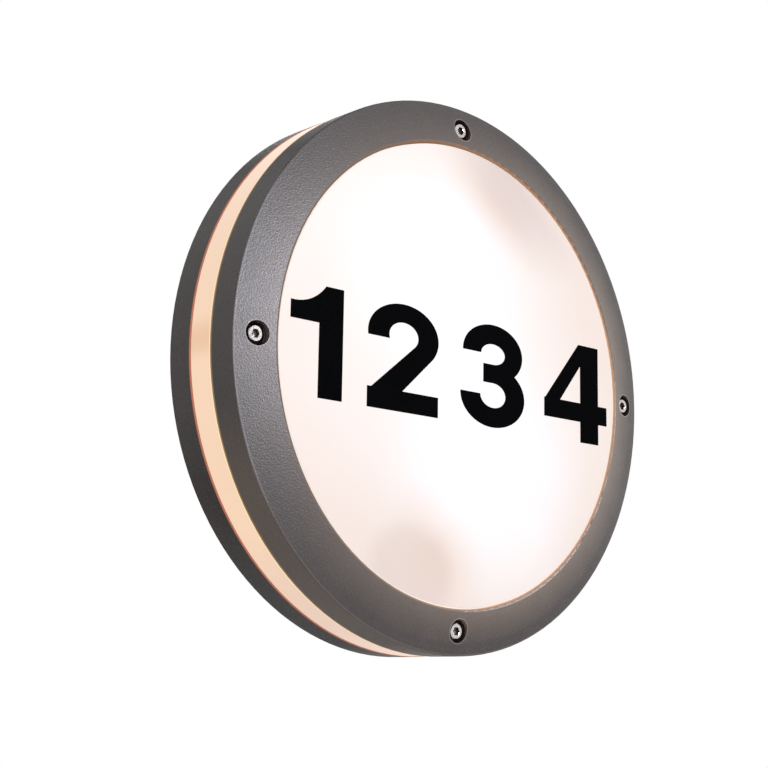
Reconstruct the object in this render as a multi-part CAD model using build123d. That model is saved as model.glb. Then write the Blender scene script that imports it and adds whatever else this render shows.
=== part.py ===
from build123d import *
import os
from math import cos, radians, sin, sqrt, tan

# A round wall light with a lit front disc that carries a house number, and a lit band round its
# side. A cast base and a cast front ring clamp the band between them with four cap screws, and
# two small globe lamps lie flat inside, head to tail.
#
# Every piece is drawn with the lamp lying on its back: x to the right, y up, z out from the wall,
# and the origin on the centre line at the wall. hang() turns it upright, with the front at -Y.
# Lengths are in millimetres, angles in degrees, and depths are distances out from the wall.

# ---------------------------------------------------------------- driving sizes: cast body
RIM_R = 150.0  # outer radius at the front rim
DRAFT = 0.5  # the cast sides widen by this angle towards the wall
BASE_SKIRT = 16.7  # side of the base
BAND_WIDTH = 16.7  # lit gap between base and front ring
RING_SKIRT = 18.1  # side of the front ring
FACE_WIDTH = 24.3  # sloping face, from the rim in to the lip
FACE_RISE = 5.1  # the lip stands out past the rim by this much
SIDE_WALL = 3.5
FACE_WALL = 2.6
FLOOR = 3.0
RIM_ROUND = 0.9
LIP_ROUND = 1.2
EDGE_ROUND = 0.4
FIT = 0.4  # gap between parts that lie one inside the other
SCREW_FIT = 0.05  # gap round a screw's thread in its tapped hole
PILLAR_R = 5.5
RIB_THICK = 3.0
BOSS_R = 4.5
BOSS_TOP = 8.0  # depth of the seats for brackets and earth lug
SLOT_SPACING = 180.0  # wall slots, left and right of the centre
SLOT_LENGTH = 16.0
SLOT_WIDTH = 5.5

# ---------------------------------------------------------------- driving sizes: seals and opals
WALL_SEAL_WIDTH = 5.6
WALL_SEAL_THICK = 1.2
WALL_SEAL_INSET = 7.5  # from the base's rear edge to the seal
BAND_SEAL_THICK = 0.5
BAND_SEAL_INSET = 1.0  # the band seals lie this far in from the visible side
TONGUE_WALL = 2.6  # rim of the opal band that reaches behind the cast sides
TONGUE_REACH = 3.0
BAND_RECESS = 0.3
FLANGE_WIDTH = 5.8  # step of the opal front, behind the ring's lip
OPAL_WALL = 2.6
LIP_STEP = 1.0  # the opal front lies this far behind the lip
FRONT_SEAL_THICK = 0.8
CLIP_WIDTH = 11.0
CLIP_THICK = 0.8
CLIP_REACH = 3.4  # length of clip that presses on the opal flange
REBATE_WALL = 2.2  # low wall of the front ring round the opal flange

# ---------------------------------------------------------------- driving sizes: fasteners
COVER_SCREW_INSET = 13.0  # from the rim in to the cap screws
CAP_HEAD_R = 4.25  # M5 cap screw
CAP_HEAD_HIGH = 5.0
CAP_SHANK_R = 2.5
CAP_LENGTH = 30.0
CAP_SOCKET = 4.0  # across the flats
CAP_SOCKET_DEEP = 2.5
CAP_SUNK = 1.6  # head lies this far below the sloping face
WELL_R = 6.2  # well in the face round each cap screw
WELL_WALL = 2.0
CAP_HOLE_R = 2.75
CAP_SEAL_R = 5.7
CAP_SEAL_THICK = 1.0
M4_R = 2.0
M3_R = 1.5
SCREW_SOLE = 3.5  # depth of thread that a small screw has in its boss

# ---------------------------------------------------------------- driving sizes: lamps
GLOBE_ANGLE = 99.6  # where the upper globe lies round the centre
LAMP_INSET = 74.5  # from the globe's centre to the inside of the cast side
LAMP_TILT = 25.0  # lamp axis, up from level
LAMP_GAP = 0.5  # globe to reflector, and globe to the rear plane of the opal front's flange
GLOBE_WALL = 1.2
HOUSING_START = 13.0  # along the lamp, from the globe's centre to its housing
HOUSING_WALL = 1.6
BOARD_R = 16.3
BOARD_THICK = 1.4
CAP_START = 27.6
SHELL_LENGTH = 24.4  # screw cap with a 27 mm thread
SHELL_R = 13.0
SHELL_WALL = 0.6
THREAD_PITCH = 3.6
THREAD_DEEP = 0.7
INSULATOR_LENGTH = 2.4
TIP_R = 4.6
TIP_LENGTH = 1.1
HOLDER_R = 19.5
HOLDER_LENGTH = 38.0
HOLDER_SOLE = 8.6  # solid end of the lampholder
HOLDER_RIM_GAP = 1.2
SLEEVE_WALL = 0.5
CONTACT_GAP = 0.15
BRACKET_THICK = 1.5
BRACKET_WIDTH = 34.0
BRACKET_FOOT = 17.0
BRACKET_SCREW_SPACING = 20.0
HOLDER_SCREW_SPACING = 18.0

# ---------------------------------------------------------------- driving sizes: wiring
REFLECTOR_THICK = 0.6
REFLECTOR_INSET = 18.5  # from the cast side's inside to the reflector's edge
REFLECTOR_GAP = 0.6  # round each boss
CABLE_DROP = 32.0  # cable entry below the centre
CABLE_R = 4.0
GROMMET_NECK_R = 7.6
GROMMET_FLANGE_R = 10.4
GROMMET_FLANGE = 1.8
GROMMET_NOZZLE = 4.0
BLOCK_SIZE = (34.0, 19.0, 15.0)
BLOCK_RISE = 6.0
BLOCK_UP = 5.0  # centre of the block above the lamp's centre
POLE_PITCH = 9.6
CLAMP_SIZE = (5.6, 16.0, 8.4)
CLAMP_MOUTH = (3.2, 5.6)
CLAMP_SCREW_SPACING = 9.0
WIRE_R = 1.1
WIRE_GAP = 0.2
WIRE_SPREAD = 8.0  # between the two wires at a lampholder
WIRE_GRIP = 5.0  # length of wire inside its clamp
BLOCK_LEAD = 6.0  # straight run out of the block
HOLDER_LEAD = 9.0  # straight run into the side of a lampholder
EARTH_AT = (29.0, -2.0)
LUG_THICK = 1.0
LUG_NECK = (3.4, 5.0)
BARREL_GAP = 3.0  # from the lug's ring to its barrel
BARREL_LENGTH = 6.0
BARREL_WALL = 0.9
BARREL_GRIP = 4.0
BARREL_LEAD = 8.0  # straight run into the barrel
EARTH_WAY = ((12.0, 28.0, 6.5),)
UPPER_NEUTRAL_WAY = ((26.0, 33.0, 10.0), (48.0, 47.0, 15.0))
UPPER_LIVE_WAY = ((8.0, 38.0, 17.0), (38.0, 50.0, 22.0))
LOWER_LIVE_WAY = ((-27.0, 24.0, 8.0), (-43.0, 3.0, 7.0), (-53.0, -24.0, 9.0))
LOWER_NEUTRAL_WAY = ((-8.0, 31.0, 23.0), (-34.0, 27.0, 20.0), (-51.0, 2.0, 16.0), (-59.0, -26.0, 22.0))

# ---------------------------------------------------------------- driving sizes: number
DIGIT_HEIGHT = 57.0
DIGIT_LIFT = 1.5  # centre of the figures above the lamp's centre
DIGIT_MARGIN = 7.2  # from the figures to the lip at each end
DIGIT_STEM = 15.5  # upright strokes
DIGIT_BAR = 10.8  # level strokes
DIGIT_SPACE = 16.7
DIGIT_SHARES = (34.0, 50.0, 50.0, 54.0)  # widths of 1, 2, 3 and 4 against each other
FOIL = 0.3

# ---------------------------------------------------------------- worked-out sizes
BAND_REAR = BASE_SKIRT
BAND_FRONT = BAND_REAR + BAND_WIDTH
RIM_DEPTH = BAND_FRONT + RING_SKIRT
LIP_DEPTH = RIM_DEPTH + FACE_RISE
LIP_R = RIM_R - FACE_WIDTH
CAVITY_R = RIM_R - SIDE_WALL


def side_r(depth):
    """Outer radius of the cast sides at a depth."""
    return RIM_R + (RIM_DEPTH - depth) * tan(radians(DRAFT))


def face_depth(radius):
    """Depth of the sloping face at a radius."""
    return LIP_DEPTH - (radius - LIP_R) * FACE_RISE / FACE_WIDTH


COVER_SCREW_R = RIM_R - COVER_SCREW_INSET
WELL_FLOOR = face_depth(COVER_SCREW_R) - CAP_SUNK - CAP_HEAD_HIGH - CAP_SEAL_THICK
COVER_SCREW_SEAT = WELL_FLOOR + CAP_SEAL_THICK
COVER_SCREW_TIP = COVER_SCREW_SEAT - CAP_LENGTH

OPAL_FRONT = LIP_DEPTH - LIP_STEP
OPAL_REAR = OPAL_FRONT - OPAL_WALL
LEDGE = LIP_DEPTH - FACE_WALL - LIP_STEP  # the ring's face ends here behind the lip
FLANGE_FRONT = LEDGE - FRONT_SEAL_THICK
FLANGE_REAR = FLANGE_FRONT - OPAL_WALL
FLANGE_R = LIP_R + FLANGE_WIDTH
REBATE_R = FLANGE_R + FIT
CLIP_SEAT = FLANGE_REAR
CLIP_SCREW_R = REBATE_R + REBATE_WALL + BOSS_R - 0.6

REFLECTOR_TOP = FLOOR + REFLECTOR_THICK
LAMP_DEPTH = (REFLECTOR_TOP + FLANGE_REAR) / 2
GLOBE_R = (FLANGE_REAR - REFLECTOR_TOP) / 2 - LAMP_GAP
SHELL_END = CAP_START + SHELL_LENGTH
LAMP_TIP = SHELL_END + INSULATOR_LENGTH + TIP_LENGTH
HOLDER_RIM = CAP_START + HOLDER_RIM_GAP
HOLDER_END = HOLDER_RIM + HOLDER_LENGTH
HOLDER_BOTTOM = HOLDER_END - HOLDER_SOLE
WIRE_PORT = HOLDER_END - HOLDER_SOLE / 2  # where the wires enter the lampholder
BLOCK_TOP = BLOCK_RISE + BLOCK_SIZE[2]
BLOCK_EDGE = BLOCK_UP + BLOCK_SIZE[1] / 2
CLAMP_DEPTH = BLOCK_RISE + BLOCK_SIZE[2] / 2 - 1.0
CLAMP_LEVELS = (CLAMP_DEPTH - 1.3, CLAMP_DEPTH + 1.3)  # two wires, one above the other
GROMMET_STEP = FLOOR / 2
WIRE_SINK_Y = HOLDER_R - 5  # how far into the lampholder the wires reach
EARTH_WIRE_DEPTH = BOSS_TOP + WIRE_R + BARREL_WALL
BARREL_LOW = EARTH_AT[1] + BOSS_R + BARREL_GAP

COVER_SCREWS = {"right": 0.0, "top": 90.0, "left": 180.0, "bottom": 270.0}
CLIP_ANGLES = (45.0, 135.0, 225.0, 315.0)
LAMP_TURNS = {"upper": 0.0, "lower": 180.0}
POLES = {"live": -POLE_PITCH, "earth": 0.0, "neutral": POLE_PITCH}


# ---------------------------------------------------------------- shared shapes
def turned(outline, rounds=None):
    """Solid turned about z from a closed outline of (radius, z) points, with rounded corners."""
    if rounds:
        radii = [rounds.get(i, 0.0) for i in range(len(outline))]
        edges = FilletPolyline(*outline, radius=radii, close=True)
    else:
        edges = Polyline(*outline, close=True)
    return revolve(Plane.XZ * make_face(edges), Axis.Z)


def rod(radius, low, high, at=(0, 0)):
    """Cylinder along z between two depths."""
    upright = (Align.CENTER, Align.CENTER, Align.MIN)
    return Pos(at[0], at[1], low) * Cylinder(radius, high - low, align=upright)


def tube(inner, outer, low, high, at=(0, 0)):
    return rod(outer, low, high, at) - rod(inner, low, high, at)


def block(size, low, at=(0, 0)):
    """Box centred on at, standing on a depth."""
    upright = (Align.CENTER, Align.CENTER, Align.MIN)
    return Pos(at[0], at[1], low) * Box(*size, align=upright)


def polar(radius, angle):
    return (radius * cos(radians(angle)), radius * sin(radians(angle)))


def small_screw(shank_r, grip, into):
    """Pan-head screw: its seat at z = 0, its shank down -z through grip and into the thread."""
    head_r = shank_r * 1.9
    head_high = shank_r * 1.15
    head = rod(head_r, 0, head_high)
    head = fillet(head.edges().group_by(Axis.Z)[-1], head_high * 0.5)
    slots = block((head_r * 1.1, shank_r * 0.4, head_high), head_high * 0.45)
    slots += block((shank_r * 0.4, head_r * 1.1, head_high), head_high * 0.45)
    shank = rod(shank_r, -(grip + into), 0)
    shank = chamfer(shank.edges().group_by(Axis.Z)[0], shank_r * 0.25)
    return head + shank - slots


def separate(solids):
    """Several loose solids that share one node."""
    return Compound(children=[s for part in solids for s in part.solids()])


# ---------------------------------------------------------------- places shared by the pieces
LAMP_FRAME = Plane(
    origin=(*polar(CAVITY_R - LAMP_INSET, GLOBE_ANGLE), LAMP_DEPTH),
    x_dir=(0, 0, 1),
    z_dir=(cos(radians(LAMP_TILT)), sin(radians(LAMP_TILT)), 0),
)  # z runs from the globe's centre to the cap, x out from the wall


def on_lamp(x, y, z):
    """Point of the upper lamp's own frame, in the lamp's flat frame."""
    return LAMP_FRAME.from_local_coords(Vector(x, y, z))


def bracket_screw_places():
    """(x, y) of the screws that hold the upper lampholder's bracket."""
    along = HOLDER_END + BRACKET_THICK + BRACKET_FOOT / 2
    points = [on_lamp(0, side * BRACKET_SCREW_SPACING / 2, along) for side in (-1, 1)]
    return [(p.X, p.Y) for p in points]


def both_ends(places):
    """The same places for the lower lamp, turned half round the centre."""
    return list(places) + [(-x, -y) for x, y in places]


BRACKET_SCREWS = both_ends(bracket_screw_places())
BLOCK_SCREWS = [(side * POLE_PITCH / 2, BLOCK_UP) for side in (-1, 1)]
CABLE_AT = (0.0, -CABLE_DROP)
SLOTS = [(side * SLOT_SPACING / 2, 0.0) for side in (-1, 1)]


# ---------------------------------------------------------------- cast base and what lines it
def wall_slot(low, high, grow=0.0):
    outline = SlotOverall(SLOT_LENGTH + 2 * grow, SLOT_WIDTH + 2 * grow)
    cut = extrude(outline, high - low)
    return [Pos(x, y, low) * cut for x, y in SLOTS]


def base_housing():
    seal_out = side_r(0) - WALL_SEAL_INSET + FIT / 2
    seal_in = seal_out - WALL_SEAL_WIDTH - FIT
    outline = [
        (0, 0),
        (seal_in, 0),
        (seal_in, WALL_SEAL_THICK),
        (seal_out, WALL_SEAL_THICK),
        (seal_out, 0),
        (side_r(0), 0),
        (side_r(BAND_REAR), BAND_REAR),
        (CAVITY_R, BAND_REAR),
        (CAVITY_R, FLOOR),
        (0, FLOOR),
    ]
    pan = turned(outline, {5: EDGE_ROUND, 6: EDGE_ROUND, 8: EDGE_ROUND * 3})
    rib_top = BAND_REAR - TONGUE_REACH - FIT
    for angle in COVER_SCREWS.values():
        centre = polar(COVER_SCREW_R, angle)
        pan += rod(PILLAR_R, FLOOR - FIT, BAND_FRONT, centre)
        rib_length = CAVITY_R - COVER_SCREW_R + SIDE_WALL / 2
        rib = block((rib_length, RIB_THICK, rib_top - FLOOR + FIT), FLOOR - FIT, (rib_length / 2, 0))
        pan += Rot(0, 0, angle) * Pos(COVER_SCREW_R, 0, 0) * rib
    for place in BRACKET_SCREWS + [EARTH_AT]:
        pan += rod(BOSS_R, FLOOR - FIT, BOSS_TOP, place)
    for place in BLOCK_SCREWS:
        pan += rod(BOSS_R - 1, FLOOR - FIT, BLOCK_RISE, place)
    for angle in COVER_SCREWS.values():
        centre = polar(COVER_SCREW_R, angle)
        pan -= rod(CAP_SHANK_R + SCREW_FIT, COVER_SCREW_TIP - 2, BAND_FRONT, centre)
    for place in BRACKET_SCREWS + [EARTH_AT]:
        pan -= rod(M4_R + SCREW_FIT, BOSS_TOP - SCREW_SOLE - 1, BOSS_TOP, place)
    for place in BLOCK_SCREWS:
        pan -= rod(M3_R + SCREW_FIT, BLOCK_RISE - SCREW_SOLE - 1, BLOCK_RISE, place)
    for cut in wall_slot(0, FLOOR):
        pan -= cut
    pan -= rod(GROMMET_NECK_R + FIT / 2, 0, FLOOR, CABLE_AT)
    pan -= rod(GROMMET_FLANGE_R + FIT, 0, GROMMET_STEP, CABLE_AT)
    return pan


def wall_seal():
    outer = side_r(0) - WALL_SEAL_INSET
    return tube(outer - WALL_SEAL_WIDTH, outer, 0, WALL_SEAL_THICK)


def reflector():
    """White sheet that lies on the base's floor and clears every boss, slot and the cable."""
    sheet = rod(CAVITY_R - REFLECTOR_INSET, FLOOR, REFLECTOR_TOP)
    for place in BRACKET_SCREWS + [EARTH_AT]:
        sheet -= rod(BOSS_R + REFLECTOR_GAP, FLOOR, REFLECTOR_TOP, place)
    for place in BLOCK_SCREWS:
        sheet -= rod(BOSS_R - 1 + REFLECTOR_GAP, FLOOR, REFLECTOR_TOP, place)
    for cut in wall_slot(FLOOR, REFLECTOR_TOP, REFLECTOR_GAP * 3):
        sheet -= cut
    return sheet - rod(GROMMET_FLANGE_R + REFLECTOR_GAP, FLOOR, REFLECTOR_TOP, CABLE_AT)


def cable_grommet():
    """Rubber bush, its rear flange sunk in the base and its nozzle pointing into the lamp."""
    nozzle_r = GROMMET_NECK_R - 1.5
    top = FLOOR + GROMMET_FLANGE
    outline = [
        (CABLE_R, 0),
        (GROMMET_FLANGE_R, 0),
        (GROMMET_FLANGE_R, GROMMET_STEP),
        (GROMMET_NECK_R, GROMMET_STEP),
        (GROMMET_NECK_R, FLOOR),
        (GROMMET_FLANGE_R, FLOOR),
        (GROMMET_FLANGE_R, top),
        (nozzle_r + 0.8, top),
        (nozzle_r, top + GROMMET_NOZZLE),
        (CABLE_R, top + GROMMET_NOZZLE),
    ]
    return Pos(*CABLE_AT, 0) * turned(outline, {6: EDGE_ROUND, 8: EDGE_ROUND})


# ---------------------------------------------------------------- lit band between the castings
def side_diffuser():
    """Opal ring; its tongues reach behind both cast sides and its shoulders meet the seals."""
    rear = BAND_REAR + BAND_SEAL_THICK
    front = BAND_FRONT - BAND_SEAL_THICK
    tongue_r = CAVITY_R - FIT
    inner = tongue_r - TONGUE_WALL
    outline = [
        (inner, BAND_REAR - TONGUE_REACH),
        (tongue_r, BAND_REAR - TONGUE_REACH),
        (tongue_r, rear),
        (side_r(rear) - BAND_RECESS, rear),
        (side_r(front) - BAND_RECESS, front),
        (tongue_r, front),
        (tongue_r, BAND_FRONT + TONGUE_REACH),
        (inner, BAND_FRONT + TONGUE_REACH),
    ]
    return turned(outline, {3: EDGE_ROUND, 4: EDGE_ROUND})


def band_seal(low):
    return tube(CAVITY_R + FIT, side_r(low) - BAND_SEAL_INSET, low, low + BAND_SEAL_THICK)


# ---------------------------------------------------------------- cover: ring, opal front, clips
def front_ring():
    wall_r = REBATE_R + REBATE_WALL
    outline = [
        (side_r(BAND_FRONT), BAND_FRONT),
        (RIM_R, RIM_DEPTH),
        (LIP_R, LIP_DEPTH),
        (LIP_R, LEDGE),
        (REBATE_R, LEDGE),
        (REBATE_R, CLIP_SEAT),
        (wall_r, CLIP_SEAT),
        (wall_r, face_depth(wall_r) - FACE_WALL),
        (CAVITY_R, face_depth(CAVITY_R) - FACE_WALL),
        (CAVITY_R, BAND_FRONT),
    ]
    ring = turned(outline, {0: EDGE_ROUND, 1: RIM_ROUND, 2: LIP_ROUND, 8: RIM_ROUND})
    under = face_depth(CAVITY_R) - FACE_WALL / 2
    for angle in COVER_SCREWS.values():
        centre = polar(COVER_SCREW_R, angle)
        ring += rod(WELL_R + WELL_WALL, WELL_FLOOR - WELL_WALL, under, centre)
        ring += rod(PILLAR_R, BAND_FRONT, WELL_FLOOR, centre)
    for angle in CLIP_ANGLES:
        ring += rod(BOSS_R, CLIP_SEAT, under, polar(CLIP_SCREW_R, angle))
    for angle in COVER_SCREWS.values():
        centre = polar(COVER_SCREW_R, angle)
        ring -= rod(WELL_R, WELL_FLOOR, LIP_DEPTH, centre)
        ring -= rod(CAP_HOLE_R, BAND_FRONT, WELL_FLOOR, centre)
    for angle in CLIP_ANGLES:
        ring -= rod(M3_R + SCREW_FIT, CLIP_SEAT, CLIP_SEAT + SCREW_SOLE, polar(CLIP_SCREW_R, angle))
    return ring


def clear_of_wells(piece, low, high):
    """Notch a ring where the ring's screw wells pass it."""
    for angle in COVER_SCREWS.values():
        piece -= rod(WELL_R + WELL_WALL + FIT, low, high, polar(COVER_SCREW_R, angle))
    return piece


def front_diffuser():
    """Opal disc with a stepped edge: it fills the ring's lip and is held by its flange."""
    disc_r = LIP_R - FIT
    inner = disc_r - OPAL_WALL
    outline = [
        (0, OPAL_REAR),
        (inner, OPAL_REAR),
        (inner, FLANGE_REAR),
        (FLANGE_R, FLANGE_REAR),
        (FLANGE_R, FLANGE_FRONT),
        (disc_r, FLANGE_FRONT),
        (disc_r, OPAL_FRONT),
        (0, OPAL_FRONT),
    ]
    disc = turned(outline, {6: EDGE_ROUND})
    return clear_of_wells(disc, FLANGE_REAR, FLANGE_FRONT)


def front_seal():
    seal = tube(LIP_R + FIT, FLANGE_R, FLANGE_FRONT, LEDGE)
    return clear_of_wells(seal, FLANGE_FRONT, LEDGE)


def diffuser_clips():
    """Four flat spring clips that press the opal flange against its seal."""
    inner = FLANGE_R - CLIP_REACH
    length = CLIP_SCREW_R + BOSS_R - inner
    plate = block((length, CLIP_WIDTH, CLIP_THICK), CLIP_SEAT - CLIP_THICK, (inner + length / 2, 0))
    plate = fillet(plate.edges().filter_by(Axis.Z), CLIP_WIDTH / 5)
    plate -= rod(M3_R + WIRE_GAP, CLIP_SEAT - CLIP_THICK, CLIP_SEAT, (CLIP_SCREW_R, 0))
    return separate([Rot(0, 0, angle) * plate for angle in CLIP_ANGLES])


def clip_screws():
    screw = Rot(180, 0, 0) * small_screw(M3_R, CLIP_THICK, SCREW_SOLE - 0.3)
    seat = CLIP_SEAT - CLIP_THICK
    return separate([Pos(*polar(CLIP_SCREW_R, angle), seat) * screw for angle in CLIP_ANGLES])


def cover_screw(angle):
    """M5 cap screw with a hexagon socket, in its well."""
    head = rod(CAP_HEAD_R, 0, CAP_HEAD_HIGH)
    head = fillet(head.edges().group_by(Axis.Z)[-1], EDGE_ROUND)
    socket = extrude(RegularPolygon(CAP_SOCKET / 2, 6, major_radius=False), CAP_SOCKET_DEEP)
    shank = rod(CAP_SHANK_R, -CAP_LENGTH, 0)
    shank = chamfer(shank.edges().group_by(Axis.Z)[0], CAP_SHANK_R / 4)
    screw = head + shank - Pos(0, 0, CAP_HEAD_HIGH - CAP_SOCKET_DEEP) * socket
    return Pos(*polar(COVER_SCREW_R, angle), COVER_SCREW_SEAT) * screw


def cover_screw_seals():
    ring = tube(CAP_SHANK_R + WIRE_GAP, CAP_SEAL_R, WELL_FLOOR, COVER_SCREW_SEAT)
    return separate([Pos(*polar(COVER_SCREW_R, a), 0) * ring for a in COVER_SCREWS.values()])


# ---------------------------------------------------------------- figures on the opal front
def oval(width, height, centre):
    return Pos(*centre) * Ellipse(width / 2, height / 2)


def area(*corners):
    return make_face(Polyline(*corners, close=True))


def figure_1(w, h):
    left = w - DIGIT_STEM
    flag_top = h * 0.825
    flag = flag_top - DIGIT_BAR * 0.85
    edges = Polyline((0, flag_top), (0, flag), (left, flag), (left, 0), (w, 0), (w, h), (left + 4, h))
    edges += ThreePointArc((left + 4, h), (left * 0.72, flag_top + h * 0.045), (0, flag_top))
    return make_face(edges)


def figure_2(w, h):
    """Bowl, then a straight that leaves the bowl's two ovals at a tangent, then the foot."""
    bowl_high = h * 0.60
    centre = (w / 2, h - bowl_high / 2)
    a, b = w / 2, bowl_high / 2
    inner_a, inner_b = a - DIGIT_STEM + 1, b - DIGIT_BAR + 1
    leave_out, leave_in = radians(-37), radians(-41)
    out = (centre[0] + a * cos(leave_out), centre[1] + b * sin(leave_out))
    inside = (centre[0] + inner_a * cos(leave_in), centre[1] + inner_b * sin(leave_in))
    slope_out = -b / a / tan(leave_out)
    slope_in = -inner_b / inner_a / tan(leave_in)
    foot_right = out[0] - (out[1] - DIGIT_BAR) / slope_out
    foot_left = inside[1] - inside[0] * slope_in
    ring = oval(w, bowl_high, centre) - oval(2 * inner_a, 2 * inner_b, centre)
    cut_y = h * 0.66
    below = area((-1, -1), (-1, cut_y), (centre[0], cut_y), inside, out, (out[0], -1))
    straight = area((0, 0), (0, foot_left), inside, out, (foot_right, DIGIT_BAR), (foot_right, 0))
    foot = area((0, 0), (w, 0), (w, DIGIT_BAR), (0, DIGIT_BAR))
    return (ring - below) + straight + foot


def figure_3(w, h):
    """Two ovals one on the other, open to the left, with a short bar between them."""
    upper_high, lower_high = h * 0.56, h * 0.61
    mid = w / 2
    shape = oval(w * 0.93, upper_high, (mid, h - upper_high / 2))
    shape += oval(w, lower_high, (mid, lower_high / 2))
    bar_low = h * 0.43
    bar_high = bar_low + DIGIT_BAR * 0.95
    hole_w = w - 2 * DIGIT_STEM
    top_hole = (h - DIGIT_BAR + bar_high) / 2
    low_hole = (bar_low + DIGIT_BAR) / 2
    shape -= oval(hole_w, h - DIGIT_BAR - bar_high, (mid, top_hole))
    shape -= oval(hole_w * 1.06, bar_low - DIGIT_BAR, (mid, low_hole))
    shape -= area((-1, low_hole), (mid, low_hole), (mid, bar_low), (-1, bar_low))
    shape -= area((-1, bar_high), (mid, bar_high), (mid, top_hole), (-1, top_hole))
    return shape - area((-1, low_hole), (w * 0.35, low_hole), (w * 0.35, top_hole), (-1, top_hole))


def figure_4(w, h):
    right = w * 0.86
    left = right - DIGIT_STEM
    low = h * 0.21
    high = low + DIGIT_BAR
    stem = area((left, 0), (right, 0), (right, h), (left, h))
    bar = area((0, low), (w, low), (w, high), (0, high))
    wedge = area((0, high - 1), (right - DIGIT_STEM * 1.1, h), (right, h), (right, low), (0, low))
    hole = area((w * 0.245, high), (left, high), (left, h * 0.785))
    return stem + bar + wedge - hole


def figures():
    """The four figures 1, 2, 3 and 4 of black foil, spaced evenly across the opal front."""
    ink = sum(DIGIT_SHARES)
    room = 2 * (LIP_R - DIGIT_MARGIN) - (len(DIGIT_SHARES) - 1) * DIGIT_SPACE
    left = DIGIT_MARGIN - LIP_R
    bottom = DIGIT_LIFT - DIGIT_HEIGHT / 2
    for share, draw in zip(DIGIT_SHARES, (figure_1, figure_2, figure_3, figure_4)):
        width = room * share / ink
        shape = extrude(draw(width, DIGIT_HEIGHT), FOIL)
        yield Pos(left, bottom, OPAL_FRONT) * shape
        left += width + DIGIT_SPACE


# ---------------------------------------------------------------- lamps and lampholders
def lamp_globe():
    inner_r = GLOBE_R - GLOBE_WALL
    ball = Sphere(GLOBE_R) - Sphere(inner_r)
    return LAMP_FRAME * (ball - rod(GLOBE_R * 2, HOUSING_START, GLOBE_R * 2))


def lamp_housing():
    mouth = sqrt(GLOBE_R**2 - HOUSING_START**2)
    seat = HOUSING_START + BOARD_THICK / 2
    end_r = SHELL_R + 0.6
    outline = [
        (BOARD_R + WIRE_GAP, HOUSING_START),
        (mouth, HOUSING_START),
        (mouth + 0.5, HOUSING_START + 1.8),
        (mouth - 1.4, HOUSING_START + 8),
        (end_r, CAP_START),
        (SHELL_R - SHELL_WALL - HOUSING_WALL, CAP_START),
        (SHELL_R - SHELL_WALL - HOUSING_WALL, CAP_START - HOUSING_WALL),
        (mouth - 1.4 - 2 * HOUSING_WALL, HOUSING_START + 8),
        (BOARD_R - HOUSING_WALL, seat),
        (BOARD_R + WIRE_GAP, seat),
    ]
    return LAMP_FRAME * turned(outline, {2: EDGE_ROUND, 3: 6.0})


def lamp_board():
    seat = HOUSING_START + BOARD_THICK / 2
    return LAMP_FRAME * rod(BOARD_R, seat - BOARD_THICK, seat)


def screw_shell(radius, wall, low, high):
    """Rolled shell of a 27 mm lamp thread, drawn as rings: lines between rounded crests."""
    turns = int((high - low - THREAD_PITCH) / THREAD_PITCH)
    first = low + (high - low - turns * THREAD_PITCH) / 2
    outer = [(radius - THREAD_DEEP, low)]
    for turn in range(turns):
        start = first + turn * THREAD_PITCH
        outer.append((radius - THREAD_DEEP, start))
        outer.append((radius, start + THREAD_PITCH / 2))
    outer.append((radius - THREAD_DEEP, first + turns * THREAD_PITCH))
    outer.append((radius - THREAD_DEEP, high))
    inner = [(r - wall, z) for r, z in reversed(outer)]
    return turned(outer + inner)


def lamp_cap():
    return LAMP_FRAME * screw_shell(SHELL_R, SHELL_WALL, CAP_START, SHELL_END)


def lamp_insulator():
    """Black insert that closes the screw shell and carries the tip."""
    body_r = SHELL_R - THREAD_DEEP - SHELL_WALL
    outline = [
        (0, SHELL_END - 2),
        (body_r, SHELL_END - 2),
        (body_r, SHELL_END),
        (SHELL_R - THREAD_DEEP, SHELL_END),
        (TIP_R + 1, SHELL_END + INSULATOR_LENGTH),
        (0, SHELL_END + INSULATOR_LENGTH),
    ]
    return LAMP_FRAME * turned(outline)


def lamp_tip():
    tip = rod(TIP_R, SHELL_END + INSULATOR_LENGTH, LAMP_TIP)
    return LAMP_FRAME * fillet(tip.edges().group_by(Axis.Z)[-1], TIP_LENGTH / 2)


def lampholder_body():
    """Glazed cup that holds the screw shell; two wires enter its solid end from the side."""
    bore = SHELL_R + FIT + SLEEVE_WALL
    outline = [
        (0, HOLDER_BOTTOM),
        (bore, HOLDER_BOTTOM),
        (bore, HOLDER_RIM),
        (HOLDER_R - 2.5, HOLDER_RIM),
        (HOLDER_R, HOLDER_RIM + 3),
        (HOLDER_R, HOLDER_END),
        (0, HOLDER_END),
    ]
    cup = turned(outline, {3: EDGE_ROUND * 2, 4: EDGE_ROUND * 4, 5: EDGE_ROUND * 2})
    port = rod(WIRE_R + WIRE_GAP, WIRE_SINK_Y, HOLDER_R + 1)
    for side in (-1, 1):
        cup -= Pos(side * WIRE_SPREAD / 2, 0, WIRE_PORT) * Rot(-90, 0, 0) * port
    for side in (-1, 1):
        place = (0, side * HOLDER_SCREW_SPACING / 2)
        cup -= rod(M3_R + SCREW_FIT, HOLDER_END - SCREW_SOLE - 1, HOLDER_END, place)
    return LAMP_FRAME * cup


def lampholder_sleeve():
    """Screw sleeve of the lampholder, rolled to the same thread as the cap."""
    outer = SHELL_R + FIT + SLEEVE_WALL
    return LAMP_FRAME * tube(outer - SLEEVE_WALL, outer, HOLDER_RIM + 2, SHELL_END + 1)


def lampholder_contact():
    """Sprung tongue on the cup's floor, with the button that meets the lamp's tip."""
    button = LAMP_TIP + CONTACT_GAP
    tongue = block((5, (SHELL_R - 1) * 2, 0.8), HOLDER_BOTTOM - 0.8)
    return LAMP_FRAME * (tongue + rod(TIP_R - 1.2, button, HOLDER_BOTTOM))


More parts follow.
